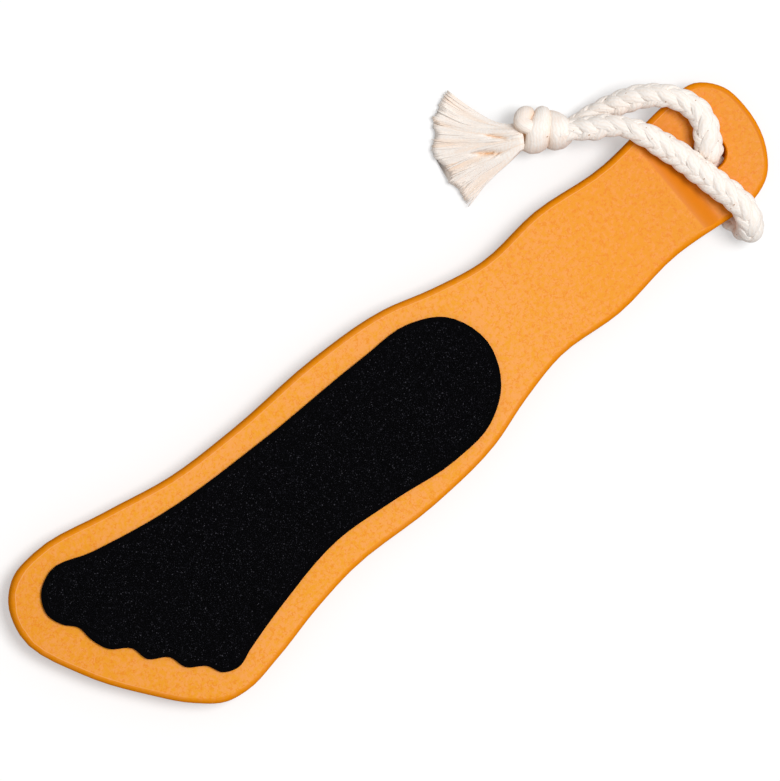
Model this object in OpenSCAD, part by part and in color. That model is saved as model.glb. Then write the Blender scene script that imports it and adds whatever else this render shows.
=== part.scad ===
// Foot file: a lacquered wooden paddle with a foot-shaped abrasive sheet glued to each face, and a
// braided cotton rope tied in a loop through the hole of its thin end. All sizes are millimetres.
// +X runs from the toe end to the hanging end, +Y is the big toe's side and +Z is up.
// The origin is on the table, under the middle of the paddle, which lies with its fine side down.
// The rope passes under the thin end, so the hanging end lies a little higher than the toe end.

/* [Board] */
// Length of the board
board_l = 250; // [220:1:290]
// Thickness of the board
board_t = 8.5; // [7.5:0.1:11]
// Radius that rounds the board's long edges
edge_r = 1.8; // [1:0.1:3.2]
// Reach of the big toe's side from the centre line
big_toe_reach = 34.4; // [31:0.1:39]
// Reach of the small toes' side from the centre line
small_toe_reach = 32.7; // [29:0.1:37]
// Width at the arch
arch_w = 51.2; // [46:0.1:56]
// Width at the heel
heel_w = 52.8; // [47:0.1:58]
// Width of the neck behind the heel
neck_w = 34; // [28:0.1:40]
// Width of the grip
grip_w = 36.6; // [30:0.1:42]
// Width of the waist behind the grip
waist_w = 32.2; // [27:0.1:38]

/* [Thin end] */
// Width of the thin end
thin_w = 36.6; // [31:0.1:42]
// Length of the thin end, with its slope
thin_l = 31.6; // [28:0.1:36]
// Length of the slope between the grip's face and the thin end
slope_l = 6.2; // [4:0.1:9]
// Depth taken off each face of the thin end
relief = 2; // [1:0.1:2.4]
// Diameter of the hole that the rope passes through
hole_d = 9.5; // [8.6:0.1:12]
// Distance from the hanging end to the middle of the hole
hole_inset = 16.2; // [14:0.1:18]
// Radius that breaks the hole's two rims
rim_r = 0.6; // [0.2:0.1:0.8]

/* [Abrasive sheets] */
// Thickness of the adhesive film under each sheet
adhesive_t = 0.2; // [0.1:0.05:0.4]
// Thickness of the backing
backing_t = 0.4; // [0.2:0.05:0.8]
// Thickness of the coarse grit coat
coarse_grit_t = 0.5; // [0.3:0.05:0.8]
// Thickness of the fine grit coat
fine_grit_t = 0.3; // [0.15:0.05:0.5]

/* [Rope] */
// Diameter of the braided rope
rope_d = 7.2; // [6:0.1:7.4]
// Height of the rope where the thin end presses it on the table
pressed_h = 5.2; // [4.6:0.1:6]
// Clearance between the rope and the board
rope_gap = 0.2; // [0.1:0.05:0.4]
// Length over which each strand narrows towards the knot
narrow_l = 16; // [8:1:24]

/* [Knot and tassel] */
// Length of the knot
knot_l = 16; // [13:0.5:20]
// Diameter of the knot over its wraps
knot_d = 13.4; // [12:0.1:15]
// Depth of the groove between two wraps
groove = 1.3; // [0.4:0.1:2]
// Length of one wrap along the knot
wrap_l = 7; // [5:0.5:9]
// Reach of the knot's bulge away from the board
knot_bulge = 2.4; // [0:0.1:3]
// Width of the two frayed ends together where they leave the knot
root_w = 6.8; // [5:0.1:8]
// Length of the frayed ends
tassel_l = 20; // [16:0.1:30]
// Height of a frayed end where it leaves the knot
root_h = 6; // [4:0.1:8]
// Height of a frayed end at its tips
tip_h = 3; // [2:0.1:4]

/* [Hidden] */

// Straight pieces of the outlines between two of their points
outline_steps = 5;
// Rings on each rounded edge of the board
edge_steps = 4;
// Most of the half thickness that an edge radius may take
edge_limit_share = 0.88;
// Facets of the hole
hole_facets = 64;
// Overrun of every cut
overrun = 1;

// Outline of the board. Toe ends: along the length, and across as a share of that side's reach.
nose_share = 0.0252;
big_toe_shares = [[0, 0.56], [0.0134, 0.826], [0.036, 0.959], [0.07, 1], [0.16, 0.888],
    [0.24, 0.772]];
small_toe_shares = [[0.068, 0.497], [0.1, 0.79], [0.13, 0.963], [0.155, 1], [0.205, 0.953],
    [0.271, 0.846]];
// Places along the length of the arch, heel, two stations behind it, neck, grip and waist
side_shares = [0.33, 0.448, 0.542, 0.6, 0.662, 0.743, 0.836];
// How much of the heel's extra width is left at the two stations behind it
heel_fall_shares = [0.78, 0.33];
// How much of the thin end's extra width is reached where the slope starts and ends
thin_rise_shares = [0.32, 0.7];
// Round end of the thin end: along it from the hole, and across in half widths
end_big_shares = [[0.568, 0.967], [0.926, 0.62]];
end_tip_shares = [1, 0.22];
end_small_shares = [[0.531, 0.835], [0.827, 0.5]];
// The slope bends away from the grip's face over the first share, and into the thin end over the last
slope_bend_shares = [0.45, 0.15];

// Outline of the sheets, from the big toe round the heel to the small toes, each point along the
// board's length and across in the reach or width that it follows
sheet_big_shares = [[0.037, 0.552], [0.046, 0.715], [0.07, 0.814], [0.12, 0.718], [0.204, 0.596]];
sheet_arch_shares = [[0.338, 0.357], [0.338, -0.322]];
sheet_heel_shares = [[0.488, 0.343], [0.552, 0.326], [0.589, 0.231], [0.608, -0.008],
    [0.589, -0.235], [0.552, -0.356], [0.496, -0.386], [0.416, -0.341]];
sheet_small_shares = [[0.249, -0.618], [0.186, -0.743], [0.164, -0.795], [0.146, -0.74],
    [0.138, -0.621], [0.118, -0.502], [0.112, -0.358], [0.091, -0.242], [0.086, -0.095],
    [0.065, 0.034], [0.057, 0.197], [0.055, 0.33], [0.043, 0.443]];

// How the paddle lies: it leans on the toe end of its fine sheet and on the pressed rope
fine_t = adhesive_t + backing_t + fine_grit_t;
lean_x = sheet_big_shares[0][0] * board_l;
hole_x = board_l - hole_inset;
lean = asin((pressed_h + rope_gap - fine_t - relief) / (hole_x - lean_x));
middle_y = (big_toe_reach - small_toe_reach) / 2;

// Route of the rope, from the knot's mouth over the big toe's side, down through the hole, under
// the thin end, round its other side and back over the slope to the knot's mouth
route = [[83.5, 29.5, 4.5], [89.5, 29.5, 5], [94, 28.5, 6.5], [98, 27, 8.5], [101.5, 25.5, 10],
    [104.5, 23.5, 11.5], [107.5, 21, 13], [110, 18, 14], [112, 14.5, 14], [113, 10.5, 14],
    [112.5, 7, 14], [111, 4, 14], [109.5, 1, 12.5], [109, -0.5, 10], [109, -0.5, 7.5],
    [108.5, -1.5, 5], [108, -3.5, 3], [107, -7, 2.5], [106, -11, 2.5], [105, -15.5, 2.5],
    [104, -20, 2.5], [103.5, -23, 4.5], [104, -24, 8], [104.5, -23, 11], [105.5, -20.5, 13],
    [106, -17, 14], [105.5, -13, 14], [104.5, -9, 14], [103.5, -4.5, 14], [102.5, 0, 14],
    [101.5, 4.5, 14], [100, 8.5, 14.5], [98.5, 12.5, 15], [96.5, 16.5, 15], [94, 20.5, 14],
    [91, 23.5, 12.5], [87.5, 26, 11], [83, 28.5, 10]];
route_steps = 2;
rope_sides = 10;
// Radius of a strand at the knot, as a share of its full radius
narrow_share = 0.74;
// How much wider a pressed strand gets for each share of its height that it loses
spread_share = 0.7;

// The knot lies square to the line between the rope's two ends, one above the other
rope_ends = [route[0], route[len(route) - 1]];
knot_turn = 90 + atan2(rope_ends[0][1] - rope_ends[1][1], rope_ends[0][0] - rope_ends[1][0]);
// Middle direction and opening of the tassel
tassel_turn = 144;
tassel_open = 76;
knot_rings = 28;
knot_sides = 20;
// Length of each end over which the knot rounds off
knot_round_share = 0.42;
// Share of the knot's length at which its bulge is full
bulge_full_share = 0.65;
tassel_rings = 7;
tassel_sides = 12;
// Width of each frayed end, as a share of half the fan
tassel_fill_share = 0.96;
// How much larger the knot's flat ends are than the strands that leave them
knot_lip_share = 0.06;

function mix(a, b, s) = a + (b - a) * s;
function unit(v) = v / norm(v);

// Smooth closed curve through points
function at(P, i) = P[(i + len(P)) % len(P)];
function blended(a, b) = (a * norm(b) / norm(a) + b * norm(a) / norm(b)) / (norm(a) + norm(b));
function heading(P, i) = blended(at(P, i) - at(P, i - 1), at(P, i + 1) - at(P, i));
function eased(a, b, ta, tb, s) =
    (2 * pow(s, 3) - 3 * pow(s, 2) + 1) * a + (pow(s, 3) - 2 * pow(s, 2) + s) * ta
    + (3 * pow(s, 2) - 2 * pow(s, 3)) * b + (pow(s, 3) - pow(s, 2)) * tb;
function smooth_loop(P) = [for (i = [0 : len(P) - 1], k = [0 : outline_steps - 1])
    let (a = at(P, i), b = at(P, i + 1), d = norm(b - a))
    eased(a, b, heading(P, i) * d, heading(P, i + 1) * d, k / outline_steps)];

// Smooth open curve through points, whose two ends run square to the knot's mouth
function toward(turn) = [cos(turn), sin(turn), 0];
function open_heading(P, i) =
    i == 0 ? -toward(knot_turn) : i == len(P) - 1 ? toward(knot_turn) : heading(P, i);
function smooth_route(P) = concat([for (i = [0 : len(P) - 2], k = [0 : route_steps - 1])
    let (d = norm(P[i + 1] - P[i]))
    eased(P[i], P[i + 1], open_heading(P, i) * d, open_heading(P, i + 1) * d, k / route_steps)],
    [P[len(P) - 1]]);

// Skin over rings of equal counts, closed by a fan at each end
function skin_faces(rings, sides) = concat(
    [for (j = [0 : rings - 2], i = [0 : sides - 1], k = [0, 1])
        let (a = j * sides + i, b = j * sides + (i + 1) % sides)
        k == 0 ? [a, b, b + sides] : [a, b + sides, a + sides]],
    [for (i = [1 : sides - 2]) [0, i + 1, i]],
    [for (i = [1 : sides - 2]) [0, i, i + 1] + [1, 1, 1] * (rings - 1) * sides]);

// Board: its own outline has x from the toe end and y from the centre line
widths = [arch_w, heel_w, mix(neck_w, heel_w, heel_fall_shares[0]),
    mix(neck_w, heel_w, heel_fall_shares[1]), neck_w, grip_w, waist_w];
slope_x = board_l - thin_l;
side_points = concat([for (i = [0 : len(widths) - 1]) [side_shares[i] * board_l, widths[i] / 2]],
    [[slope_x, mix(waist_w, thin_w, thin_rise_shares[0]) / 2],
    [slope_x + slope_l, mix(waist_w, thin_w, thin_rise_shares[1]) / 2], [hole_x, thin_w / 2]]);
function toe_points(shares, reach) = [for (p = shares) [p[0] * board_l, p[1] * reach]];
function end_points(shares) = [for (p = shares) [hole_x + p[0] * hole_inset, p[1] * thin_w / 2]];
function other_side(P) = [for (i = [len(P) - 1 : -1 : 0]) [P[i][0], -P[i][1]]];
board_outline = smooth_loop(concat([[nose_share * board_l, 0]],
    toe_points(big_toe_shares, big_toe_reach), side_points, end_points(end_big_shares),
    end_points([end_tip_shares]), other_side(end_points(end_small_shares)),
    other_side(side_points), other_side(toe_points(small_toe_shares, small_toe_reach))));

function slope_fall(u, a, b) = u <= 0 ? 0 : u >= 1 ? 1 :
    (u < a ? pow(u, 2) / (2 * a) : u > 1 - b ? 1 - a / 2 - b / 2 - pow(1 - u, 2) / (2 * b)
    : u - a / 2) / (1 - a / 2 - b / 2);
function half_t(x) = board_t / 2
    - relief * slope_fall((x - slope_x) / slope_l, slope_bend_shares[0], slope_bend_shares[1]);
function edge_at(x) = min(edge_r, edge_limit_share * half_t(x));
// One ring of the board: side is -1 below and 1 above, turn is 0 on the wall and 90 on the face
function edge_ring(P, side, turn) = [for (i = [0 : len(P) - 1])
    let (t = unit(heading(P, i)), r = edge_at(P[i][0]), q = P[i] - [-t[1], t[0]] * r * (1 - cos(turn)))
    [q[0], q[1], side * (half_t(q[0]) - r * (1 - sin(turn)))]];
function board_faces(n, rings) = concat(
    [for (j = [0 : rings - 2], i = [0 : n - 1], k = [0, 1])
        let (a = j * n + i, b = j * n + (i + 1) % n)
        k == 0 ? [a + n, a, b] : [a + n, b, b + n]],
    [for (end = [0, 1], i = [0 : n / 2 - 1], k = [0, 1])
        let (l = i, m = i + 1, q = (n - i - 1) % n, p = (n - i) % n, up = (rings - 1) * n * end,
            f = k == 0 ? [l, m, q] : [l, q, p])
        if (f[0] != f[1] && f[1] != f[2] && f[2] != f[0])
            (end == 1 ? f : [f[0], f[2], f[1]]) + [up, up, up]]);

// Lays the paddle on the table
module laid() {
    translate([lean_x - board_l / 2, -middle_y, 0]) rotate([0, -lean, 0])
        translate([-lean_x, 0, board_t / 2 + fine_t]) children();
}

module rim_cut() {
    rotate_extrude($fn = hole_facets) difference() {
        translate([hole_d / 2 - overrun, -rim_r]) square([rim_r + overrun, rim_r + overrun]);
        translate([hole_d / 2 + rim_r, -rim_r]) circle(r = rim_r, $fn = hole_facets);
    }
}

module board() {
    turns = [for (i = [0 : edge_steps]) 90 * i / edge_steps];
    rings = concat([for (i = [edge_steps : -1 : 0]) edge_ring(board_outline, -1, turns[i])],
        [for (turn = turns) edge_ring(board_outline, 1, turn)]);
    n = len(board_outline);
    thin_t = board_t - 2 * relief;
    color([0.95, 0.6, 0.2]) laid() difference() {
        polyhedron([for (ring = rings, p = ring) p], board_faces(n, len(rings)));
        translate([hole_x, 0, -board_t / 2]) cylinder(d = hole_d, h = board_t, $fn = hole_facets);
        for (face = [0, 1]) translate([hole_x, 0, 0]) mirror([0, 0, face])
            translate([0, 0, thin_t / 2]) rim_cut();
    }
}

// Abrasive sheets
sheet_outline = smooth_loop(concat(toe_points(sheet_big_shares, big_toe_reach),
    toe_points([sheet_arch_shares[0]], arch_w), toe_points(sheet_heel_shares, heel_w),
    toe_points([sheet_arch_shares[1]], arch_w), toe_points(sheet_small_shares, small_toe_reach)));

// One layer of a sheet: under is what lies between it and the board's face, 1 above and -1 below
module sheet_layer(face, under, t) {
    z = board_t / 2 + under;
    laid() translate([0, 0, face > 0 ? z : -z - t]) linear_extrude(t) polygon(sheet_outline);
}
module coarse_adhesive() { color([0.8, 0.75, 0.6]) sheet_layer(1, 0, adhesive_t); }
module coarse_backing() { color([0.3, 0.28, 0.26]) sheet_layer(1, adhesive_t, backing_t); }
module coarse_grit() {
    color([0.06, 0.06, 0.07]) sheet_layer(1, adhesive_t + backing_t, coarse_grit_t);
}
module fine_adhesive() { color([0.8, 0.75, 0.6]) sheet_layer(-1, 0, adhesive_t); }
module fine_backing() { color([0.3, 0.28, 0.26]) sheet_layer(-1, adhesive_t, backing_t); }
module fine_grit() {
    color([0.1, 0.1, 0.11]) sheet_layer(-1, adhesive_t + backing_t, fine_grit_t);
}

// Rope: each ring is carried along the route without twisting, and flattened where it is pressed
function route_turns(P) = [for (i = [0 : len(P) - 1]) unit(open_heading(P, i))];
function carried(T, i) = i == 0 ? unit(cross(T[0], [0, 0, 1]))
    : let (v = carried(T, i - 1)) unit(v - (v * T[i]) * T[i]);
function run_to(P, i) = i == 0 ? 0 : norm(P[i] - P[i - 1]) + run_to(P, i - 1);
function strand_r(from_end) = rope_d / 2 * mix(narrow_share, 1, min(1, from_end / narrow_l));
module rope_loop() {
    P = smooth_route(route);
    T = route_turns(P);
    whole = run_to(P, len(P) - 1);
    rings = [for (i = [0 : len(P) - 1])
        let (v = carried(T, i), w = cross(v, T[i]), run = run_to(P, i),
            r = strand_r(min(run, whole - run)), low = min(1, P[i][2] / r),
            wide = 1 + (1 - low) * spread_share)
        [for (k = [0 : rope_sides - 1])
            let (turn = 360 * k / rope_sides, o = r * (cos(turn) * v + sin(turn) * w))
            P[i] + [o[0] * wide, o[1] * wide, o[2] * low]]];
    color([0.97, 0.95, 0.91])
        polyhedron([for (ring = rings, p = ring) p], skin_faces(len(rings), rope_sides));
}

// Knot: a barrel with the slanting grooves of its wraps, lying on the table. Its flat mouth is as
// wide as one strand and as high as two, and its flat root is as large as the tassel's.
knot_z = knot_d / 2;
mouth = (rope_ends[0] + rope_ends[1]) / 2;
mouth_half_w = strand_r(0) * (1 + knot_lip_share);
mouth_half_h = mouth_half_w + norm(rope_ends[0] - rope_ends[1]) / 2;
root_half = [root_w, root_h] / 2 * (1 + knot_lip_share);
function knot_swell(s) = sqrt(1 - pow(1 - min(1, min(s, 1 - s) / knot_round_share), 2));
module rope_knot() {
    rings = [for (j = [0 : knot_rings])
        let (s = j / knot_rings, swell = knot_swell(s),
            end = s < 1 / 2 ? [mouth_half_w, mouth_half_h, mouth[2]] : concat(root_half, [knot_z]),
            size = mix(end, [knot_d / 2, knot_d / 2, knot_z], swell))
        [for (k = [0 : knot_sides - 1])
            let (turn = 360 * k / knot_sides, wave = 180 * s * knot_l / wrap_l - turn,
                cut = groove * swell * (1 - abs(sin(wave))),
                out = knot_bulge * swell * min(1, s / bulge_full_share))
            [s * knot_l, (size[0] - cut) * sin(turn) - out, size[2] + (size[1] - cut) * cos(turn)]]];
    color([0.95, 0.92, 0.88]) translate([mouth[0], mouth[1], 0]) rotate([0, 0, knot_turn])
        polyhedron([for (ring = rings, p = ring) p], skin_faces(knot_rings + 1, knot_sides));
}

// Tassel: two flat fans of loose yarn, one to each side of the tassel's middle line
root = [mouth[0], mouth[1], 0] + toward(knot_turn) * knot_l;
module tassel_end(side) {
    root_out = root + toward(knot_turn + 90 * side) * root_w / 2;
    tip_mid = root + toward(tassel_turn) * tassel_l;
    tip_out = root_out + toward(tassel_turn + side * tassel_open / 2)
        * tassel_l * cos(tassel_open / 4);
    rings = [for (j = [0 : tassel_rings - 1])
        let (s = j / (tassel_rings - 1), a = mix(root, tip_mid, s), b = mix(root_out, tip_out, s),
            h = mix(root_h, tip_h, s), z = mix(tip_h / 2, knot_z, pow(1 - s, 2)))
        [for (k = [0 : tassel_sides - 1])
            let (turn = -360 * k / tassel_sides * side)
            (a + b) / 2 + (b - a) / 2 * tassel_fill_share * cos(turn)
            + [0, 0, max(z, h / 2) + h / 2 * sin(turn)]]];
    color([0.96, 0.94, 0.9])
        polyhedron([for (ring = rings, p = ring) p], skin_faces(tassel_rings, tassel_sides));
}
module tassel_end_a() { tassel_end(-1); }
module tassel_end_b() { tassel_end(1); }

board();
coarse_adhesive();
coarse_backing();
coarse_grit();
fine_adhesive();
fine_backing();
fine_grit();
rope_loop();
rope_knot();
tassel_end_a();
tassel_end_b();
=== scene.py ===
import math
import random

import bpy
from mathutils import Matrix, Vector


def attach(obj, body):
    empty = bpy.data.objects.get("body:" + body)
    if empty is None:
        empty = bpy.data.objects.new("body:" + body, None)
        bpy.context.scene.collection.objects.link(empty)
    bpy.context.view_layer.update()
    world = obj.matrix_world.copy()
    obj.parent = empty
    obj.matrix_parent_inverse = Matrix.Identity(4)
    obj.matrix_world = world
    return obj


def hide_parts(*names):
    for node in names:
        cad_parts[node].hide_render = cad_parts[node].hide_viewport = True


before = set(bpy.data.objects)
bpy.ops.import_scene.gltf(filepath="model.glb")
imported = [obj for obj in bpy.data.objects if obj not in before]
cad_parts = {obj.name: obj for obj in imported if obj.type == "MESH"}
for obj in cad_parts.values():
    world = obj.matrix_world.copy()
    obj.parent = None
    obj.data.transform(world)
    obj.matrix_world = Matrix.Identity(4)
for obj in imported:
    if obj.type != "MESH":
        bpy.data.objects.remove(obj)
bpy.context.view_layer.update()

# Board. One piece of wood, sawn to the outline of a long foot and thinned at the hanging end. Its
# edges are rounded over by a router, and it is sprayed with an orange lacquer that leaves a fine
# orange-peel skin with amber flecks of the pores below.
face_orange = (0.84, 0.32, 0.003)
pale_orange = (0.87, 0.335, 0.062)
fleck_amber = (0.81, 0.245, 0.0)
# Painted highlight
painted_highlight_orange = (0.93, 0.42, 0.16)
# Lacquer pooled at the edge, with painted shade
rim_pool_and_shade_orange = (0.78, 0.23, 0.001)
# Painted shade on the slope, and the rope's painted shadow beyond its foot
slope_shade_orange = (0.7, 0.205, 0.005)
# Painted shade: these tints darken the lacquer towards both ends, away from the lamp's sheen in the middle
no_tint = (1, 1, 1)
toe_tint = (0.94, 0.9, 0.85)
grip_tint = (0.99, 0.91, 0.8)
end_tint = (0.92, 0.83, 0.75)
# How many details of the lacquer's skin go to a metre
cloud_scale = 60
mottle_scale = 800
pore_scale = 760
pore_gap_scale = 700
peel_scale = 900
peel_depth = 0.00004
board_half_l = 0.125
slope_foot_x = 0.097
# The painted highlight lies on rims that face this way
highlight_way = (-0.77, 0.64, 0)
same_point = 0.00001
edge_smooth_angle = math.radians(35)


def alone(piece):
    """Makes the piece the only one selected."""
    bpy.ops.object.select_all(action="DESELECT")
    piece.select_set(True)
    bpy.context.view_layer.objects.active = piece


def merged_copy(node, name):
    """A copy of a CAD node whose loose triangles are joined into one skin."""
    piece = bpy.data.objects.new(name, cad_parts[node].data.copy())
    bpy.context.collection.objects.link(piece)
    alone(piece)
    bpy.ops.object.mode_set(mode="EDIT")
    bpy.ops.mesh.select_all(action="SELECT")
    bpy.ops.mesh.customdata_custom_splitnormals_clear()
    bpy.ops.mesh.remove_doubles(threshold=same_point)
    bpy.ops.object.mode_set(mode="OBJECT")
    return piece


def applied(kind, **settings):
    """Adds a modifier to the active piece and applies it."""
    bpy.ops.object.modifier_add(type=kind)
    modifier = bpy.context.object.modifiers[-1]
    for setting, value in settings.items():
        setattr(modifier, setting, value)
    bpy.ops.object.modifier_apply(modifier=modifier.name)


def add_node(tree, kind, inputs=None, **settings):
    """Adds a node to a tree. Each input is linked to a socket or set to a value."""
    made = tree.nodes.new(kind)
    for setting, value in settings.items():
        setattr(made, setting, value)
    for socket, value in (inputs or {}).items():
        if isinstance(value, bpy.types.NodeSocket):
            tree.links.new(value, made.inputs[socket])
        else:
            made.inputs[socket].default_value = value
    return made


def rgba(shade):
    """A colour or a grey as four numbers. A socket stays as it is."""
    if isinstance(shade, bpy.types.NodeSocket):
        return shade
    return (*shade, 1) if hasattr(shade, "__len__") else (shade, shade, shade, 1)


class Finish:
    """A material that is put together node by node."""

    def __init__(self, name, **constants):
        self.material = bpy.data.materials.new(name)
        self.material.use_nodes = True
        self.tree = self.material.node_tree
        self.shader = self.tree.nodes["Principled BSDF"]
        for socket, value in constants.items():
            self.shader.inputs[socket.replace("_", " ")].default_value = value

    def node(self, kind, inputs=None, **settings):
        return add_node(self.tree, "ShaderNode" + kind, inputs, **settings)

    def place(self, shares=(1, 1, 1)):
        """Object coordinates. A share over 1 presses the pattern together along its axis."""
        at = self.node("TexCoord").outputs["Object"]
        return self.node("Mapping", {"Vector": at, "Scale": shares}).outputs[0]

    def noise(self, at, scale, detail=2, rough=0.5):
        inputs = {"Vector": at, "Scale": scale, "Detail": detail, "Roughness": rough}
        return self.node("TexNoise", inputs).outputs[0]

    def ramp(self, value, *stops):
        """Grey to grey or colour to colour, by stops of place and shade."""
        made = self.node("ValToRGB", {0: value})
        elements = made.color_ramp.elements
        while len(elements) < len(stops):
            elements.new(0.5)
        for element, (at, shade) in zip(elements, stops):
            element.position = at
            element.color = rgba(shade)
        return made.outputs[0]

    def mix(self, share, a, b, blend="MIX"):
        inputs = {0: share, 6: rgba(a), 7: rgba(b)}
        return self.node("Mix", inputs, data_type="RGBA", blend_type=blend).outputs[2]

    def math(self, operation, *values):
        return self.node("Math", dict(enumerate(values)), operation=operation).outputs[0]

    def colour(self, socket):
        self.tree.links.new(socket, self.shader.inputs["Base Color"])

    def bump(self, height, depth):
        made = self.node("Bump", {"Height": height, "Distance": depth, "Strength": 1})
        self.tree.links.new(made.outputs[0], self.shader.inputs["Normal"])


def give_finish(piece, finish):
    """Covers a piece with one finish."""
    piece.data.materials.clear()
    piece.data.materials.append(finish.material)


lacquer = Finish("orange lacquer", Roughness=0.5, Coat_Weight=0.03, Coat_Roughness=0.25)
at_board = lacquer.place()
board_x = lacquer.node("SeparateXYZ", {0: at_board}).outputs[0]
from_toes = lacquer.math("ADD", board_x, board_half_l)
# The skin: two oranges in a fine mottle, and short wavering pores
cloud = lacquer.ramp(lacquer.noise(at_board, cloud_scale), (0.35, 0.0), (0.65, 0.07))
# Painted shade: the mottle turns less pale towards both ends
painted_end_shade = lacquer.ramp(from_toes, (0.0, 0.05), (0.06, 0.0), (0.15, 0.0), (0.2, 0.07))
mottle = lacquer.math("ADD", lacquer.noise(at_board, mottle_scale, 4, 0.65), cloud)
skin_mottle = lacquer.math("SUBTRACT", mottle, painted_end_shade)
skin = lacquer.ramp(skin_mottle, (0.42, face_orange), (0.62, pale_orange))
pore_swing = lacquer.math("SUBTRACT", lacquer.noise(at_board, pore_scale, 3), 0.5)
pore_line = lacquer.ramp(lacquer.math("ABSOLUTE", pore_swing), (0.0, 1.0), (0.06, 0.0))
pore_gaps = lacquer.ramp(lacquer.noise(at_board, pore_gap_scale), (0.48, 0.0), (0.55, 1.0))
flecked = lacquer.mix(lacquer.math("MULTIPLY", pore_line, pore_gaps), skin, fleck_amber)
end_tints = lacquer.ramp(
    from_toes, (0.0, toe_tint), (0.05, no_tint), (0.155, no_tint), (0.2, grip_tint), (0.23, end_tint)
)
coated = lacquer.mix(1.0, flecked, end_tints, "MULTIPLY")
# The rounded rim is deeper, partly from lacquer pooled at the edge and partly as painted shade; the slope to
# the thinned end and the flat at the slope's foot are darkened as painted shade
facing = lacquer.node("NewGeometry").outputs["Normal"]
facing_x, facing_y, facing_z = lacquer.node("SeparateXYZ", {0: facing}).outputs
level = lacquer.math("ABSOLUTE", facing_z)
rim_pool_and_shade = lacquer.ramp(level, (0.35, 1.0), (0.8, 0.82), (0.96, 0.5), (0.99, 0.0))
endwards = lacquer.math("SUBTRACT", facing_x, lacquer.math("ABSOLUTE", facing_y))
# Painted shade on the slope to the thinned end
tilted = lacquer.ramp(endwards, (0.04, 0.0), (0.14, 1.0))
# Painted shadow of the rope, in a band on the flat beyond the slope's foot
painted_rope_shadow = lacquer.ramp(
    board_x, (slope_foot_x, 0.0), (slope_foot_x + 0.002, 0.9), (slope_foot_x + 0.01, 0.0)
)
shaded = lacquer.math("MAXIMUM", tilted, painted_rope_shadow)
painted_slope_and_rope_shade = lacquer.math("MULTIPLY", shaded, lacquer.ramp(level, (0.86, 0.0), (0.9, 1.0)))
edged = lacquer.mix(painted_slope_and_rope_shade, lacquer.mix(rim_pool_and_shade, coated, rim_pool_and_shade_orange), slope_shade_orange)
# A painted highlight: a thin pale line where the face turns into the rim, on the big toe's side and round
# the toes
turned = lacquer.node("VectorMath", {0: facing, 1: highlight_way}, operation="DOT_PRODUCT").outputs["Value"]
at_toes = lacquer.ramp(from_toes, (0.014, 0.9), (0.026, 0.0))
highlight_side = lacquer.math("MAXIMUM", at_toes, lacquer.ramp(turned, (0.02, 0.0), (0.1, 1.0)))
painted_highlight_line = lacquer.ramp(level, (0.97, 0.0), (0.986, 0.8), (0.998, 0.0))
lacquer.colour(lacquer.mix(lacquer.math("MULTIPLY", painted_highlight_line, highlight_side), edged, painted_highlight_orange))
gloss = lacquer.ramp(level, (0.8, 0.0), (0.99, 0.17))
lacquer.tree.links.new(gloss, lacquer.shader.inputs["Specular IOR Level"])
lacquer.bump(lacquer.noise(at_board, peel_scale), peel_depth)

board = merged_copy("board", "lacquered_board")
bpy.ops.object.shade_smooth_by_angle(angle=edge_smooth_angle)
applied("WEIGHTED_NORMAL", keep_sharp=True)
give_finish(board, lacquer)
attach(board, "root")
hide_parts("board")

# Coarse sheet. Waterproof abrasive paper, die-cut to a foot with five toes and glued to the shown
# face: an amber adhesive film, a black backing and a black binder in which the silicon carbide
# grains stand. The cutting die has pressed the grains down along the edge.
sheet_lean = math.radians(0.6379)
coarse_up = Vector((-math.sin(sheet_lean), 0, math.cos(sheet_lean)))
facing_share = 0.9
flat_angle = math.radians(1)
grain_rise = 0.00018
pressed_border = 0.0014
grain_gap = 0.00036
grain_crowding = 1.4
grain_reach = (0.00015, 0.00026)
grain_seed = 7

film = Finish("amber adhesive", Roughness=0.3, Transmission_Weight=0.2)
film.colour(film.ramp(film.noise(film.place(), 600), (0.3, (0.5, 0.36, 0.2)), (0.7, (0.62, 0.48, 0.3))))
backing = Finish("black backing paper", Roughness=0.75, Specular_IOR_Level=0.2)
fibre = backing.noise(backing.place(), 2500, 3)
backing.colour(backing.ramp(fibre, (0.3, (0.006, 0.006, 0.006)), (0.75, (0.022, 0.02, 0.018))))
backing.bump(fibre, 0.00003)
for sheet in ("coarse", "fine"):
    give_finish(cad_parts[sheet + "_adhesive"], film)
    give_finish(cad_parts[sheet + "_backing"], backing)

binder = Finish("black binder", Roughness=0.7, Specular_IOR_Level=0.02)
speck = binder.noise(binder.place(), 3200, 3)
binder.colour(binder.ramp(speck, (0.45, (0.0005, 0.0005, 0.0007)), (0.75, (0.0035, 0.0035, 0.0045))))
binder.bump(speck, 0.00012)
carbide = Finish("silicon carbide", Roughness=0.4, Specular_IOR_Level=0.02)
each_grain = carbide.node("Attribute", attribute_name="grain").outputs["Vector"]
grain_tone_and_glint = carbide.node("TexWhiteNoise", {"Vector": each_grain}).outputs[0]
# Each grain takes a tone at random, and the lightest few are painted glints
carbide.colour(
    carbide.ramp(
        grain_tone_and_glint,
        (0.0, (0.0003, 0.0003, 0.0004)),
        (0.45, (0.0012, 0.0012, 0.0018)),
        (0.7, (0.007, 0.007, 0.01)),
        (0.9, (0.024, 0.024, 0.031)),
        (1.0, (0.07, 0.068, 0.08)),
    )
)


def flat_coat(node, name, finish):
    """A copy of a sheet's grit coat, with its face in one piece."""
    coat = merged_copy(node, name)
    bpy.ops.object.mode_set(mode="EDIT")
    bpy.ops.mesh.select_all(action="SELECT")
    bpy.ops.mesh.dissolve_limited(angle_limit=flat_angle)
    bpy.ops.object.mode_set(mode="OBJECT")
    give_finish(coat, finish)
    return coat


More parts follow.
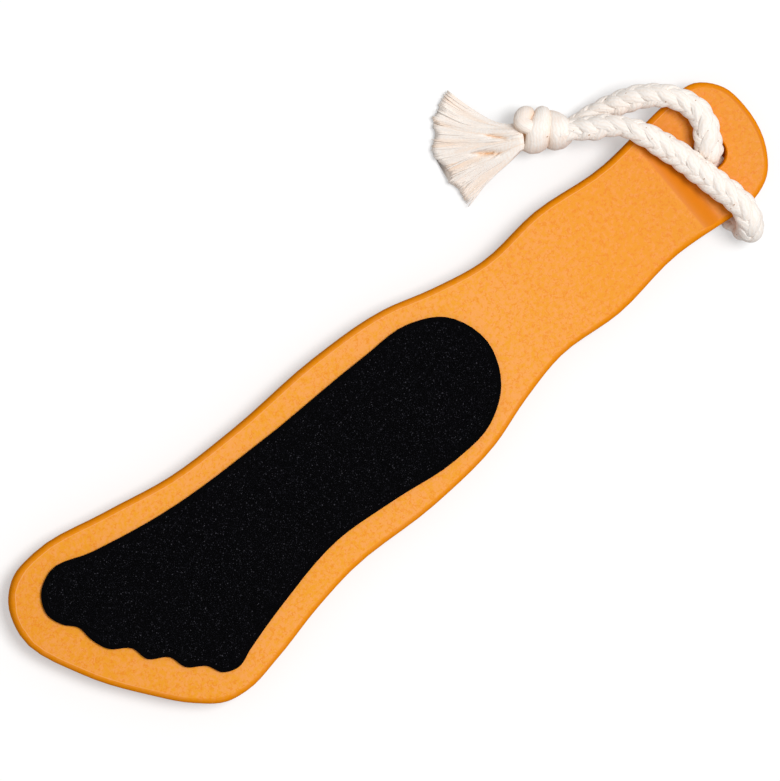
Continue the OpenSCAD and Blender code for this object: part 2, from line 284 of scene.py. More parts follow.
# The binder is lowered from the grit's full height, so that the grains can stand in it
coarse_coat = flat_coat("coarse_grit", "coarse_binder", binder)
bpy.ops.object.mode_set(mode="EDIT")
bpy.ops.mesh.select_mode(type="FACE")
bpy.ops.mesh.select_all(action="DESELECT")
bpy.ops.object.mode_set(mode="OBJECT")
for face in coarse_coat.data.polygons:
    face.select = face.normal.dot(coarse_up) > facing_share
bpy.ops.object.mode_set(mode="EDIT")
bpy.ops.transform.translate(value=-coarse_up * grain_rise)
bpy.ops.mesh.duplicate()
bpy.ops.mesh.separate(type="SELECTED")
bpy.ops.object.mode_set(mode="OBJECT")
coarse_grains = next(piece for piece in bpy.context.selected_objects if piece != coarse_coat)
coarse_grains.name = "coarse_grains"
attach(coarse_coat, "root")
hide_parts("coarse_grit")

# Inside the pressed border, small six-sided grains are strewn over the face and turned any way
alone(coarse_grains)
bpy.ops.object.mode_set(mode="EDIT")
bpy.ops.mesh.select_all(action="SELECT")
bpy.ops.mesh.inset(thickness=pressed_border)
bpy.ops.mesh.select_all(action="INVERT")
bpy.ops.mesh.delete(type="FACE")
bpy.ops.object.mode_set(mode="OBJECT")
strewing = bpy.data.node_groups.new("grain strewing", "GeometryNodeTree")
strewing.is_modifier = True
for side in ("INPUT", "OUTPUT"):
    strewing.interface.new_socket("Geometry", in_out=side, socket_type="NodeSocketGeometry")
spots = add_node(
    strewing,
    "GeometryNodeDistributePointsOnFaces",
    {
        "Mesh": add_node(strewing, "NodeGroupInput").outputs[0],
        "Distance Min": grain_gap,
        "Density Max": grain_crowding / grain_gap**2,
        "Seed": grain_seed,
    },
    distribute_method="POISSON",
)
marked_spots = add_node(
    strewing,
    "GeometryNodeStoreNamedAttribute",
    {
        "Geometry": spots.outputs[0],
        "Name": "grain",
        "Value": add_node(strewing, "GeometryNodeInputPosition").outputs[0],
    },
    data_type="FLOAT_VECTOR",
    domain="POINT",
)
grain = add_node(strewing, "GeometryNodeMeshUVSphere", {"Segments": 3, "Rings": 2, "Radius": 1.0})
any_turn = add_node(
    strewing,
    "FunctionNodeRandomValue",
    {1: (math.tau, math.tau, math.tau), "Seed": grain_seed},
    data_type="FLOAT_VECTOR",
)
any_size = add_node(
    strewing,
    "FunctionNodeRandomValue",
    {2: grain_reach[0], 3: grain_reach[1], "Seed": grain_seed + 1},
    data_type="FLOAT",
)
strewn = add_node(
    strewing,
    "GeometryNodeInstanceOnPoints",
    {
        "Points": marked_spots.outputs[0],
        "Instance": grain.outputs[0],
        "Rotation": any_turn.outputs[0],
        "Scale": any_size.outputs[1],
    },
)
real_grains = add_node(strewing, "GeometryNodeRealizeInstances", {"Geometry": strewn.outputs[0]})
add_node(strewing, "NodeGroupOutput", {0: real_grains.outputs[0]})
applied("NODES", node_group=strewing)
bpy.ops.object.shade_flat()
give_finish(coarse_grains, carbide)
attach(coarse_grains, "root")
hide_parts("coarse_grit")

# Fine sheet. The same foot in a finer grade, glued to the hidden face. Its grains are too small to
# stand out one by one, so the coat is a dark grey skin with a fine tooth.
fine = Finish("fine silicon carbide", Roughness=0.55, Specular_IOR_Level=0.25)
tooth = fine.noise(fine.place(), 5200)
fine.colour(
    fine.ramp(tooth, (0.4, (0.006, 0.006, 0.007)), (0.62, (0.02, 0.02, 0.023)), (0.8, (0.11, 0.105, 0.115)))
)
fine.bump(tooth, 0.00012)
fine_coat = flat_coat("fine_grit", "fine_coat", fine)
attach(fine_coat, "root")
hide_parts("fine_grit")

# Rope. Undyed cotton, braided from ten soft strands about a core of loose yarn: five wind each way,
# over and under each other. It runs from the knot over the big toe's side, down through the
# hole, under the board, round its other side and back over the slope to the knot.
mm = 0.001
straight_up = Vector((0, 0, 1))
rope_r = 0.0036
# The rope's middle line, from the knot and back to it
rope_route = [
    (0.0835, 0.0295, 0.0045), (0.0895, 0.0295, 0.005), (0.094, 0.0285, 0.0065), (0.098, 0.027, 0.0085),
    (0.1015, 0.0255, 0.01), (0.1045, 0.0235, 0.0115), (0.1075, 0.021, 0.013), (0.11, 0.018, 0.014),
    (0.112, 0.0145, 0.014), (0.113, 0.0105, 0.014), (0.1125, 0.007, 0.014), (0.111, 0.004, 0.014),
    (0.1095, 0.001, 0.0125), (0.109, -0.0005, 0.01), (0.109, -0.0005, 0.0075),
    (0.1085, -0.0015, 0.005), (0.108, -0.0035, 0.003), (0.107, -0.007, 0.0025),
    (0.106, -0.011, 0.0025), (0.105, -0.0155, 0.0025), (0.104, -0.02, 0.0025),
    (0.1035, -0.023, 0.0045), (0.104, -0.024, 0.008), (0.1045, -0.023, 0.011),
    (0.1055, -0.0205, 0.013), (0.106, -0.017, 0.014), (0.1055, -0.013, 0.014),
    (0.1045, -0.009, 0.014), (0.1035, -0.0045, 0.014), (0.1025, 0, 0.014), (0.1015, 0.0045, 0.014),
    (0.1, 0.0085, 0.0145), (0.0985, 0.0125, 0.015), (0.0965, 0.0165, 0.015), (0.094, 0.0205, 0.014),
    (0.091, 0.0235, 0.0125), (0.0875, 0.026, 0.011), (0.083, 0.0285, 0.01),
]
# How the soft rope lies: at shares of its run, its width as a share of the full one, and how many
# millimetres it sags off its route towards +X and +Y
rope_lies = [
    (0, 0.68, 0, 0), (0.04, 0.74, -0.5, -1), (0.08, 0.86, -0.5, -1.1), (0.12, 0.96, -0.4, -0.8),
    (0.16, 0.93, -0.1, -0.3), (0.2, 0.9, 0, 0), (0.3, 1.02, 0, 0), (0.35, 1.12, -0.1, 0.3),
    (0.4, 0.96, 0, 0), (0.5, 1.02, 0, 0), (0.56, 1.1, 0.3, -0.3), (0.6, 1.08, 0.2, -0.2),
    (0.65, 1.04, -0.2, 0), (0.82, 1.03, -0.3, -0.1), (0.87, 0.92, 0, 0), (0.905, 0.78, 0, 0),
    (0.93, 0.86, 0, 0), (0.965, 0.96, -0.2, -0.5), (1, 0.8, 0, 0),
]
# Where the rope is pressed flat: its share of spread to the sides, how low its strands go, and how
# much lower each goes than the one before, so that no two share one plane
pressed_spread = 0.7
pressed_low = 0.0006
pressed_step = -0.00005
ring_step = 0.0004
knot_bite = 0.004
strands_each_way = 5
strand_lead = 0.023
strand_half_width = 0.00185
strand_half_depth = 0.00115
strand_middle = 0.0022
strand_weave = 0.00042
weave_turn = math.radians(20)
strand_sides = 20
strand_ribs = 4
strand_rib_depth = 0.03
# Hand-drawn cotton is uneven: waves in radians to a metre, and how far they go
uneven_paces = (310, 570, 970)
uneven_turn = 0.1
uneven_middle = 0.00016
middle_pace_share = 1.3
swell_pace = 1130
swell_share = 0.09
core_r = 0.0028
core_sides = 16
# Painted shade of the core, seen between the strands
core_shade = 0.7
# The painted shade in creases between strands stops short of the depth at which it turns amber
most_crease_shade = 0.86
# How much painted shade a strand takes in a crease at rest, and how far its weave and its own crest lift it
# out
crease_shade_rest = 0.5
weave_lift = 0.35
crest_lift = 0.45
unevenness = random.Random(5)

route_points = [Vector(point) for point in rope_route]
knot_turn = math.pi / 2 + math.atan2(
    route_points[0].y - route_points[-1].y, route_points[0].x - route_points[-1].x
)
knot_way = Vector((math.cos(knot_turn), math.sin(knot_turn), 0))


def smooth_path(points, first_way, last_way, step, finer=16):
    """Evenly spaced points of a smooth curve through the given ones, and its length."""

    def way(i):
        if i == 0 or i == len(points) - 1:
            return last_way if i else first_way
        back, on = points[i] - points[i - 1], points[i + 1] - points[i]
        return (back * on.length / back.length + on * back.length / on.length) / (back.length + on.length)

    fine_points = []
    for i in range(len(points) - 1):
        reach = (points[i + 1] - points[i]).length
        for k in range(finer):
            s = k / finer
            fine_points.append(
                (2 * s**3 - 3 * s**2 + 1) * points[i]
                + (s**3 - 2 * s**2 + s) * way(i) * reach
                + (3 * s**2 - 2 * s**3) * points[i + 1]
                + (s**3 - s**2) * way(i + 1) * reach
            )
    fine_points.append(points[-1])
    runs = [0.0]
    for a, b in zip(fine_points, fine_points[1:]):
        runs.append(runs[-1] + (b - a).length)
    count = round(runs[-1] / step)
    path, j = [], 0
    for k in range(count + 1):
        run = runs[-1] * k / count
        while j < len(runs) - 2 and runs[j + 1] < run:
            j += 1
        share = (run - runs[j]) / (runs[j + 1] - runs[j])
        path.append(fine_points[j].lerp(fine_points[j + 1], share))
    return path, runs[-1]


def ways_along(path):
    """The heading at each point of a path. A path that ends where it starts is closed."""
    last = len(path) - 1
    ways = [(path[min(i + 1, last)] - path[max(i - 1, 0)]).normalized() for i in range(last + 1)]
    if (path[last] - path[0]).length < same_point:
        ways[0] = ways[last] = (path[1] - path[last - 1]).normalized()
    return ways


def tube_rings(centres, outs, half_widths, half_depths, sides, ribs=0, rib_depth=0.0):
    """Oval rings round a line of centres. Each ring's depth lies along its own outward direction."""
    rings = []
    ways = ways_along(centres)
    for centre, way, out, wide, deep in zip(centres, ways, outs, half_widths, half_depths):
        out = (out - way * out.dot(way)).normalized()
        across = out.cross(way)
        ring = []
        for k in range(sides):
            turn = math.tau * k / sides
            swell = 1 + rib_depth * math.cos(ribs * turn)
            ring.append(centre + (across * wide * math.cos(turn) + out * deep * math.sin(turn)) * swell)
        rings.append(ring)
    return rings


def yarn_mesh(name, tubes):
    """One mesh of tubes, each with end caps or, where its last ring is its first, bent into a hoop.
    Its UV map has the way round in x and the metres along in y, and the attribute hollow holds painted
    shade, 1 in the creases and 0 on the crests."""
    points, faces, marks, painted_shades = [], [], [], []
    for rings, hollow in tubes:
        first, sides = len(points), len(rings[0])
        hoop = (rings[0][0] - rings[-1][0]).length < same_point
        run, runs = 0.0, []
        for j, ring in enumerate(rings):
            if j:
                run += (ring[0] - rings[j - 1][0]).length
            runs.append(run)
            if not hoop or j < len(rings) - 1:
                points += ring
                painted_shades += hollow[j]
        for j in range(len(rings) - 1):
            near = first + j * sides
            far = first if hoop and j == len(rings) - 2 else near + sides
            for k in range(sides):
                n = (k + 1) % sides
                faces.append((near + k, near + n, far + n, far + k))
                marks += [
                    (k / sides, runs[j]), ((k + 1) / sides, runs[j]),
                    ((k + 1) / sides, runs[j + 1]), (k / sides, runs[j + 1]),
                ]
        if not hoop:
            last = first + (len(rings) - 1) * sides
            faces.append(tuple(first + k for k in reversed(range(sides))))
            faces.append(tuple(last + k for k in range(sides)))
            marks += [(0.5, 0)] * sides + [(0.5, run)] * sides
    mesh = bpy.data.meshes.new(name)
    mesh.from_pydata(points, [], faces)
    layer = mesh.uv_layers.new(name="yarn")
    layer.data.foreach_set("uv", [value for mark in marks for value in mark])
    mesh.attributes.new("hollow", "FLOAT", "POINT").data.foreach_set("value", painted_shades)
    mesh.polygons.foreach_set("use_smooth", [True] * len(faces))
    piece = bpy.data.objects.new(name, mesh)
    bpy.context.collection.objects.link(piece)
    return piece


bite = knot_way * knot_bite
tied_in = [route_points[0] + bite, *route_points, route_points[-1] + bite]
rope_path, rope_length = smooth_path(tied_in, -knot_way, knot_way, ring_step)
rope_ways = ways_along(rope_path)
side_ways = [rope_ways[0].cross(straight_up).normalized()]
for way in rope_ways[1:]:
    side_ways.append((side_ways[-1] - way * side_ways[-1].dot(way)).normalized())


def rope_lie(at):
    """The rope's width share and its sag at a share of its run from knot to knot."""
    j = max(j for j in range(len(rope_lies) - 1) if rope_lies[j][0] <= at)
    s = (at - rope_lies[j][0]) / (rope_lies[j + 1][0] - rope_lies[j][0])
    s = 3 * s**2 - 2 * s**3
    wide, x, y = (a + (b - a) * s for a, b in zip(rope_lies[j][1:], rope_lies[j + 1][1:]))
    return wide, Vector((x, y, 0)) * mm


def rope_tube(bearing, radius, half_width, half_depth, sides, hollow, lowest):
    """A tube that winds about the rope's middle line. It narrows with the rope towards the knot, and
    is flattened with it where the board presses it on the table, down to its own lowest height."""
    centres, outs, wides, deeps, painted_shades = [], [], [], [], []
    for i, (point, way, side) in enumerate(zip(rope_path, rope_ways, side_ways)):
        run = rope_length * i / (len(rope_path) - 1) - knot_bite
        share, sag = rope_lie(min(1, max(0, run / (rope_length - 2 * knot_bite))))
        low = min(1, point.z / (rope_r * share))
        wider = 1 + (1 - low) * pressed_spread
        spread = Vector((wider, wider, low))
        turn = bearing(run)
        out = side * math.cos(turn) + side.cross(way) * math.sin(turn)
        centres.append(point + sag + out * radius(run, turn) * share * spread)
        outs.append(out)
        flat = (out * spread).length
        across = (out.cross(way) * spread).length
        wides.append(half_width * share * across * (1 + swell_share * math.sin(run * swell_pace + 2 * turn)))
        deeps.append(half_depth * share * flat)
        painted_shades.append([hollow(run, turn, k, sides) for k in range(sides)])
    rings = tube_rings(centres, outs, wides, deeps, sides, strand_ribs, strand_rib_depth)
    return [[Vector((p.x, p.y, max(p.z, lowest))) for p in ring] for ring in rings], painted_shades


def strand(way_round, place):
    """One strand of the braid, a little uneven like hand-drawn cotton."""
    phases = [unevenness.uniform(0, math.tau) for _ in uneven_paces]

    def uneven(run):
        waves = [math.sin(phase + run * pace) for phase, pace in zip(phases, uneven_paces)]
        return sum(waves) / len(waves)

    def bearing(run):
        wound = way_round * math.tau * run / strand_lead
        return wound + place * math.tau / strands_each_way + uneven_turn * uneven(run)

    def weave(turn):
        return way_round * math.cos(2 * (turn - weave_turn))

    def radius(run, turn):
        return strand_middle + strand_weave * weave(turn) + uneven_middle * uneven(run * middle_pace_share)

    # Painted shade: darker where a strand dips under the others and on its inner side
    def hollow(run, turn, k, sides):
        crest = math.sin(math.tau * k / sides)
        return min(most_crease_shade, max(0, crease_shade_rest - weave_lift * weave(turn) - crest_lift * crest))

    lowest = pressed_low + pressed_step * (2 * place + (way_round > 0))
    return rope_tube(bearing, radius, strand_half_width, strand_half_depth, strand_sides, hollow, lowest)


strands = [strand(way_round, place) for way_round in (1, -1) for place in range(strands_each_way)]
core = rope_tube(
    bearing=lambda run: 0,
    radius=lambda run, turn: 0,
    half_width=core_r,
    half_depth=core_r,
    sides=core_sides,
    hollow=lambda run, turn, k, sides: core_shade,
    lowest=2 * pressed_low,
)
rope = yarn_mesh("braided_loop", [*strands, core])

cotton_crest = (0.965, 0.905, 0.85)
cotton_warm = (0.95, 0.84, 0.76)
# Painted shade for creases, and a deeper, amber shade
cotton_crease_shade = (0.92, 0.7, 0.53)
cotton_deep_shade = (0.8, 0.47, 0.23)
husk_brown = (0.42, 0.2, 0.07)
husk_reach = (0.00026, 0.0004)


def cotton_finish(name, lines, slant, husks, warmth, depth):
    """Cotton of fine yarn lines, so many round a strand and slanting by so many to the metre, with peach
    painted shade in its creases and between its yarn lines, warm patches, specks of seed husk and
    yarn lines that stand up by a depth."""
    cotton = Finish(name, Roughness=0.9, Specular_IOR_Level=0.1, Sheen_Weight=0.15, Sheen_Roughness=0.5)
    mark = cotton.node("SeparateXYZ", {0: cotton.node("UVMap", uv_map="yarn").outputs[0]})
    across = cotton.math("MULTIPLY", mark.outputs[0], lines)
    along = cotton.math("MULTIPLY", mark.outputs[1], slant)
    wander = cotton.math("MULTIPLY", cotton.noise(cotton.place(), 500, 3), 2.2)
    turn = cotton.math("ADD", cotton.math("ADD", across, along), wander)
    thread = cotton.math("SINE", cotton.math("MULTIPLY", turn, math.tau))
    height = cotton.math("MULTIPLY_ADD", thread, 0.5, 0.5)
    hollow = cotton.node("Attribute", attribute_name="hollow").outputs["Fac"]
    warm = cotton.ramp(cotton.noise(cotton.place(), 260, 3), (0.45, 0.0), (0.62, warmth))
    crest_shade = cotton.mix(warm, cotton_crest, cotton_warm)
    # Painted shade in the creases, amber where deepest
    deep = cotton.ramp(hollow, (most_crease_shade, 0.0), (1.0, 1.0))
    deep_shade = cotton.mix(deep, cotton_crease_shade, cotton_deep_shade)
    shade = cotton.mix(cotton.ramp(hollow, (0.15, 0.0), (0.85, 1.0)), crest_shade, deep_shade)
    # Painted shade in the grooves between yarn lines
    groove_shaded = cotton.mix(cotton.ramp(height, (0.0, 0.26), (0.5, 0.0)), shade, cotton_crease_shade)
    husk = cotton.node("TexVoronoi", {"Vector": cotton.place((1, 1.6, 1)), "Scale": husks})
    husk_edges = [reach * husks for reach in husk_reach]
    husk_mark = cotton.ramp(husk.outputs["Distance"], (husk_edges[0], 0.8), (husk_edges[1], 0.0))
    cotton.colour(cotton.mix(husk_mark, groove_shaded, husk_brown))
    fuzz = cotton.math("MULTIPLY", cotton.noise(cotton.place(), 1500, 4), 2.4)
    cotton.bump(cotton.math("ADD", height, fuzz), depth)
    return cotton


braid_cotton = cotton_finish("braided cotton", lines=8, slant=260, husks=280, warmth=0.25, depth=0.00006)
give_finish(rope, braid_cotton)
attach(rope, "root")
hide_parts("rope_loop")

# Knot. Both ends of the rope are tied together in one overhand knot, pulled tight. The braid is
# drawn out in it, so its three turns look like smooth rolls of parallel yarn.
knot_z = 0.0067
roll_sides = 36
roll_steps = 64
roll_ribs = 9
roll_rib_depth = 0.018
roll_lumps = 3
roll_lump = 0.03
# Painted shade on the rolls: darker in their creases and towards their undersides
roll_crease_shade_rest = 0.68
roll_crest_lift = 0.6
underside_shade = 0.3 / 4
knot_core_r = 0.0052
knot_core_rings = 20
knot_core_start = 0.6
knot_core_step = 0.72
# Painted shade inside the knot's core
inner_shade = 0.6
# The last rings of the core show where the tassel leaves the knot, painted amber and deep as shade
outlet_rings = 4
outlet_shade = 1.0
mouth = (route_points[0] + route_points[-1]) / 2
knot_side = straight_up.cross(knot_way)
knot_middle_l = -1.6
# Each roll: eight places of its middle line round the knot, in millimetres from the mouth: how far
# along the knot, towards the small toe's side and above the knot's middle, then the roll's own
# half width and half depth there, and how far it leans towards the mouth, as a share. The places
# start on the big toe's side and pass over the top.
knot_rolls = [
    [
        (11.4, -6.8, 0, 2.6, 2.3, 0), (12.6, -6.2, 2.4, 2.5, 2.2, 0), (13.5, -4.6, 4.0, 2.4, 2.2, 0),
        (12.1, -3.1, 4.3, 2.1, 2.0, 0), (10.2, -1.6, 1.5, 1.9, 1.8, 0), (11.2, -0.4, -2.4, 2.0, 2.0, 0),
        (13.0, -2.4, -4.3, 2.3, 2.1, 0), (12.2, -5.2, -3.0, 2.5, 2.2, 0),
    ],
    [
        (6.9, -5.8, 0, 2.2, 2.2, 0), (7.6, -4.6, 2.9, 2.7, 2.2, 0), (9.3, -1.8, 4.4, 3.3, 2.2, 0),
        (10.3, 1.0, 3.1, 3.6, 2.2, 0), (10.8, 2.3, 0, 3.6, 2.3, 0), (10.2, 1.2, -3.0, 3.4, 2.2, 0),
        (8.8, -1.8, -4.3, 3.1, 2.2, 0), (7.4, -4.6, -3.0, 2.7, 2.2, 0),
    ],
    [
        (3.9, -3.6, 0, 3.3, 2.3, 0.8), (3.6, -2.8, 2.5, 3.3, 2.2, 0.4), (3.5, -0.4, 4.1, 3.7, 2.2, 0.1),
        (3.7, 1.8, 3.0, 3.8, 2.2, 0.1), (4.1, 2.7, 0, 3.7, 2.3, 0.1), (4.3, 1.8, -2.9, 3.6, 2.2, 0.1),
        (4.4, -0.4, -4.2, 3.4, 2.2, 0.1), (4.1, -2.7, -2.8, 3.1, 2.2, 0.4),
    ],
]


def knot_place(along, side, up):
    """The point of the frame at a place of the knot in millimetres."""
    middle = Vector((mouth.x, mouth.y, knot_z))
    return middle + (knot_way * along + knot_side * side) * mm + straight_up * (up * mm)


def knot_roll(places):
    """One roll, a hoop round the knot's middle, with a smooth curve through its places."""
    centres, outs, wides, deeps, painted_shades = [], [], [], [], []
    for i in range(roll_steps + 1):
        at = i / roll_steps * len(places)
        j, s = int(at), at % 1
        before, start, end, after = (places[(j + k) % len(places)] for k in (-1, 0, 1, 2))
        along, side, up, wide, deep, lean = (
            (2 * q + (r - p) * s + (2 * p - 5 * q + 4 * r - t) * s**2 + (3 * q - p - 3 * r + t) * s**3) / 2
            for p, q, r, t in zip(before, start, end, after)
        )
        centres.append(knot_place(along, side, up))
        out = knot_side * (side - knot_middle_l) + straight_up * up
        outs.append(out - knot_way * lean * out.length)
        lump = 1 + roll_lump * math.sin(math.tau * roll_lumps * at / len(places) + along)
        wides.append(wide * lump * mm)
        deeps.append(deep * lump * mm)
        roll_shade = roll_crease_shade_rest + underside_shade * max(0, -up)
        crests = [math.sin(math.tau * k / roll_sides) for k in range(roll_sides)]
        painted_shades.append([min(most_crease_shade, max(0, roll_shade - roll_crest_lift * crest)) for crest in crests])
    return tube_rings(centres, outs, wides, deeps, roll_sides, roll_ribs, roll_rib_depth), painted_shades


knot_core_line, knot_core_sizes, knot_core_shades = [], [], []
for i in range(knot_core_rings):
    knot_core_line.append(knot_place(knot_core_start + i * knot_core_step, knot_middle_l, 0))
    knot_core_sizes.append(knot_core_r * math.sin(math.pi * (i + 1) / (knot_core_rings + 1)) ** 0.5)
    inside = i < knot_core_rings - outlet_rings
    knot_core_shades.append([inner_shade if inside else outlet_shade] * core_sides)
knot_core = tube_rings(
    knot_core_line, [knot_side] * knot_core_rings, knot_core_sizes, knot_core_sizes, core_sides
)
knot_rings = [knot_roll(places) for places in knot_rolls] + [(knot_core, knot_core_shades)]
knot = yarn_mesh("overhand_knot", knot_rings)
knot_cotton = cotton_finish("drawn cotton", lines=22, slant=120, husks=240, warmth=1.0, depth=0.00004)
give_finish(knot, knot_cotton)
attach(knot, "root")
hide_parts("rope_knot")

# Tassel. Below the knot the two ends are cut and combed out into loose yarns, which spread in a
# flat fan and sink to the table. Each end is a dense mass of yarn with single yarns on its skin.
yarn_r = 0.00028
yarn_sides = 5
yarn_rings = 16
yarns_per_end = 340
mass_lines = 30
mass_share = 0.96
# Both start inside the knot and run to the cut edge: how far before the root, and how long, as
# shares of the way from the root to the tip
root_bite = 0.04
mass_run = 1.035
yarn_run = 1.04
# Where the fan leaves the knot, and how it sinks, flattens, drops to its sides and wanders, in the
# knot's millimetres
root_along = 14.9
root_sides = (-4.7, 2.5)
root_up = 1.0
tip_up = -5.6
lowest_up = 0.3 - knot_z / mm
fan_half_heights = (2.9, 0.55)
fan_side_drop = 1.2
fan_wander = 0.9
# From 0 for a flat band to 1 for an oval
fan_roundness = 0.97
# The fan's cut edge from the big toe's side on, as places along and beside the knot
fan_tips = [
    (30.5, -17.9), (32.3, -16.4), (33.9, -14.6), (33.5, -13.3), (36.6, -11.7), (36.2, -10.1), (36.9, -9.2),
    (36.3, -6.9), (37.7, -5.0), (38.6, -3.2), (38.5, -0.7), (37.2, 1.2), (36.0, 2.8), (35.1, 5.9),
    (36.3, 6.9), (33.9, 9.0), (33.2, 11.7), (32.5, 13.5),
]
# Three hollows where locks of yarn part: where each starts and ends, and its half width
fan_hollows = [
    ((17.5, -0.9), (24.0, -3.6), 0.75), ((20.0, 2.5), (28.5, 0.3), 1.0), ((33.0, -8.4), (37.0, -10.4), 0.5),
]
hollow_depth = 1.7
hollow_end_width = 0.25
# The locks of yarn as waves over the fan: height, and turns with the share over, the run and at rest
lock_waves = [(0.5, 29, 3, 0), (0.3, 53, -4, 1), (0.25, 97, 3, 2)]
lock_height = 0.3
# How much painted shade the yarn takes at rest, and how far a lock lifts it out or a hollow deepens it
yarn_shade_rest = 0.2
lock_lift = 0.36
hollow_shade_gain = 1.05
# How a yarn thins from its root to its cut tip
yarn_root_width = 1.15
yarn_taper = 0.3
yarn_tip_share = 0.4
# How single yarns differ: where they start and end, how high they lie, and how they crimp and stray
yarn_drift = 0.05
yarn_lengths = (0.98, 1.015)
yarn_faces = (1, 1, 1, -1)
yarn_heights = (0.93, 1.0)
yarn_crimps = (0.02, 0.1)
crimp_paces = (21, 17)
stray_share = 0.07
stray_reach = 1.6
stray_lift = 0.4
chance = random.Random(11)


def fan_tip(share):
    """The place of the fan's cut edge at a share of the way over it."""
    at = share * (len(fan_tips) - 1)
    j = min(int(at), len(fan_tips) - 2)
    return tuple(a + (b - a) * (at - j) for a, b in zip(fan_tips[j], fan_tips[j + 1]))


def fan_hollow(spot):
    """How deep a spot of the fan lies in a hollow, from 0 at the hollow's brim to 1."""
    deepest = 0
    for start, end, reach in fan_hollows:
        way = Vector(end) - Vector(start)
        s = min(1, max(0, (spot - Vector(start)).dot(way) / way.length_squared))
        off = (spot - Vector(start) - way * s).length
        deepest = max(deepest, 1 - off / (reach * (hollow_end_width + math.sin(math.pi * s))))
    return deepest


def fan_spot(share, s, side, length=1.0):
    """A point on the skin of the fan and its painted crease shade: by the share of the way over the fan,
    the share of the way from the root to the tip, and how far it is above or below the middle."""
    tip_along, tip_side = fan_tip(share)
    root_side = root_sides[0] + (root_sides[1] - root_sides[0]) * share
    run = max(0, s)
    # Yarns bend out late on the big toe's side and run straight on the other
    spread = run ** (1.8 - 0.8 * share)
    wander = fan_wander * run * (1 - run) * math.sin(6 * run + 14 * share)
    spot = Vector((
        root_along + (tip_along - root_along) * s * length,
        root_side + (tip_side - root_side) * spread * length + wander,
    ))
    locks = sum(
        height * math.sin(over * share + down * run + rest) for height, over, down, rest in lock_waves
    )
    # They leave the knot level, and then sink to the table
    sink = run**1.5 * (1.6 - 0.6 * run)
    middle = root_up - fan_side_drop * abs(share - 0.5)
    half = fan_half_heights[0] + (fan_half_heights[1] - fan_half_heights[0]) * run**0.7
    rounded = math.sqrt(1 - fan_roundness * (2 * share - 1) ** 2)
    hollow = fan_hollow(spot)
    up = middle + (tip_up - middle) * sink
    raised = side * half * rounded * (1 + lock_height * locks * min(1, 3 * run))
    up += raised - hollow * hollow_depth * max(0, side)
    painted_crease = min(1, max(0, yarn_shade_rest - lock_lift * locks) + hollow_shade_gain * hollow)
    return knot_place(*spot, max(up, lowest_up)), painted_crease


def fan_mass(start, end):
    """The dense inside of one frayed end, between two shares of the way over the fan."""
    rings, painted_shades = [], []
    shares = [start + (end - start) * k / (mass_lines - 1) for k in range(mass_lines)]
    for i in range(yarn_rings):
        s = i / (yarn_rings - 1) * mass_run - root_bite
        skin = [fan_spot(share, s, mass_share) for share in reversed(shares)]
        skin += [fan_spot(share, s, -mass_share) for share in shares]
        rings.append([point for point, painted_crease in skin])
        painted_shades.append([painted_crease for point, painted_crease in skin])
    return rings, painted_shades


def fan_yarn(share):
    """One yarn on the skin of the fan, with a slight crimp from the braid that it came out of."""
    drift = chance.uniform(-yarn_drift, yarn_drift)
    side = chance.choice(yarn_faces) * chance.uniform(*yarn_heights)
    length = chance.uniform(*yarn_lengths)
    stray = chance.uniform(-stray_reach, stray_reach) if chance.random() < stray_share else 0
    crimp, phase = chance.uniform(*yarn_crimps), chance.uniform(0, math.tau)
    centres, hollow = [], []
    for i in range(yarn_rings):
        s = i / (yarn_rings - 1) * yarn_run - root_bite
        point, painted_crease = fan_spot(min(1, max(0, share + drift * (1 - s))), s, side, length)
        beside = crimp * math.sin(phase + s * crimp_paces[0]) * s + stray * max(0, s) ** 3
        up = crimp * math.cos(phase + s * crimp_paces[1]) * s + abs(stray) * stray_lift * s**2
        point = point + knot_side * beside * mm + straight_up * (up * mm)
        centres.append(Vector((point.x, point.y, max(point.z, yarn_r))))
        hollow.append([painted_crease] * yarn_sides)
    sizes = [yarn_r * (yarn_root_width - yarn_taper * i / (yarn_rings - 1)) for i in range(yarn_rings)]
    sizes[-1] *= yarn_tip_share
    return tube_rings(centres, [straight_up] * yarn_rings, sizes, sizes, yarn_sides), hollow


yarn_cotton = cotton_finish("loose cotton", lines=3, slant=900, husks=110, warmth=0.4, depth=0.00001)
for name, node, start, end in (
    ("frayed_end_a", "tassel_end_a", 0, 0.505),
    ("frayed_end_b", "tassel_end_b", 0.495, 1),
):
    yarns = [fan_yarn(chance.uniform(start, end)) for _ in range(yarns_per_end)]
    frayed_end = yarn_mesh(name, [fan_mass(start, end)] + yarns)
    give_finish(frayed_end, yarn_cotton)
    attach(frayed_end, "root")
    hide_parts(node)

# Studio. A plain pale floor under soft light from above, a little from the picture's right, and a
# camera far above the paddle, which lies from the lower left to the upper right of the picture.
picture_turn = math.radians(-39.64)
picture_right = Vector((math.cos(picture_turn), math.sin(picture_turn), 0))
picture_up = Vector((-math.sin(picture_turn), math.cos(picture_turn), 0))
looked_at = Vector((-0.0028, 0.0054, 0.0113))
camera_lean = math.radians(6)
camera_away = 2.5
picture_width = 0.217
sensor_width = 36
lamp_offset = straight_up * 2.6 + picture_right * 0.9 + picture_up * 0.3
lamp_width = 1.2
lamp_power = 58
sky_strength = 0.42
floor_half = 1.5
floor_white = (0.97, 0.97, 0.97)
floor_glow_share = 0.4
hole_middle = (0.1088, 0, 0)
# Painted shade
painted_hole_shade = (0.5, 0.09, 0.008)

bpy.ops.object.select_all(action="DESELECT")
bpy.ops.mesh.primitive_plane_add(size=floor_half * 2, location=(0, 0, 0))
floor = bpy.context.object
floor.name = "floor"
paper = Finish("floor paper", Roughness=0.9, Specular_IOR_Level=0.1)
at_floor = paper.place()
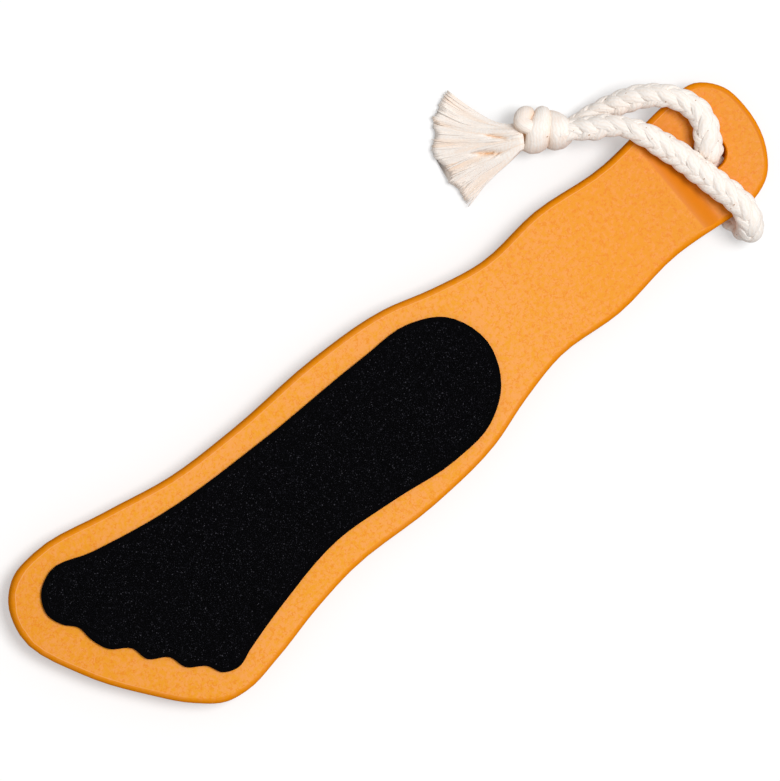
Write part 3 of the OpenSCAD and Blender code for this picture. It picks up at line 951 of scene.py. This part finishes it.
# Straight down through the hole, the floor is painted in the warm shade of the board, a painted shade seen
# only by steep rays
distance = paper.node("VectorMath", {0: at_floor, 1: hole_middle}, operation="DISTANCE").outputs["Value"]
near_hole = paper.ramp(distance, (0.0085, 1.0), (0.012, 0.0))
steepness = paper.node("SeparateXYZ", {0: paper.node("NewGeometry").outputs["Incoming"]}).outputs[2]
below_hole = paper.math("MULTIPLY", near_hole, paper.ramp(steepness, (0.8, 0.0), (0.95, 1.0)))
open_floor = paper.math("SUBTRACT", 1.0, below_hole)
seen = paper.math("MULTIPLY", paper.node("LightPath").outputs["Is Camera Ray"], open_floor)
plain = paper.ramp(paper.noise(at_floor, 40), (0.3, (0.5, 0.5, 0.5)), (0.7, (0.53, 0.53, 0.53)))
lit = paper.mix(open_floor, painted_hole_shade, plain)
paper.colour(paper.mix(seen, lit, floor_white))
glow = paper.node("Emission", {"Color": (1, 1, 1, 1), "Strength": 1.0})
glow_share = paper.math("MULTIPLY", seen, floor_glow_share)
blend = paper.node("MixShader", {0: glow_share, 1: paper.shader.outputs[0], 2: glow.outputs[0]})
paper.tree.links.new(blend.outputs[0], paper.tree.nodes["Material Output"].inputs["Surface"])
give_finish(floor, paper)

lamp = bpy.data.objects.new("overhead", bpy.data.lights.new("overhead", "AREA"))
lamp.data.size, lamp.data.energy = lamp_width, lamp_power
lamp.location = looked_at + lamp_offset
lamp.rotation_mode = "QUATERNION"
lamp.rotation_quaternion = (looked_at - lamp.location).to_track_quat("-Z", "Y")
bpy.context.collection.objects.link(lamp)

world = bpy.data.worlds.new("studio")
bpy.context.scene.world = world
world.use_nodes = True
sky = world.node_tree.nodes["Background"]
sky.inputs["Color"].default_value = (1, 1, 1, 1)
sky.inputs["Strength"].default_value = sky_strength

camera = bpy.data.objects.new("camera", bpy.data.cameras.new("camera"))
bpy.context.collection.objects.link(camera)
bpy.context.scene.camera = camera
away = straight_up * math.cos(camera_lean) - picture_right * math.sin(camera_lean)
camera.location = looked_at + away * camera_away
right = (picture_right - away * picture_right.dot(away)).normalized()
camera.rotation_mode = "QUATERNION"
camera.rotation_quaternion = Matrix((right, away.cross(right), away)).transposed().to_quaternion()
camera.data.sensor_width = sensor_width
camera.data.lens = sensor_width * camera_away / picture_width
camera.data.clip_start, camera.data.clip_end = 0.01, 10

bpy.context.scene.view_settings.view_transform = "Standard"
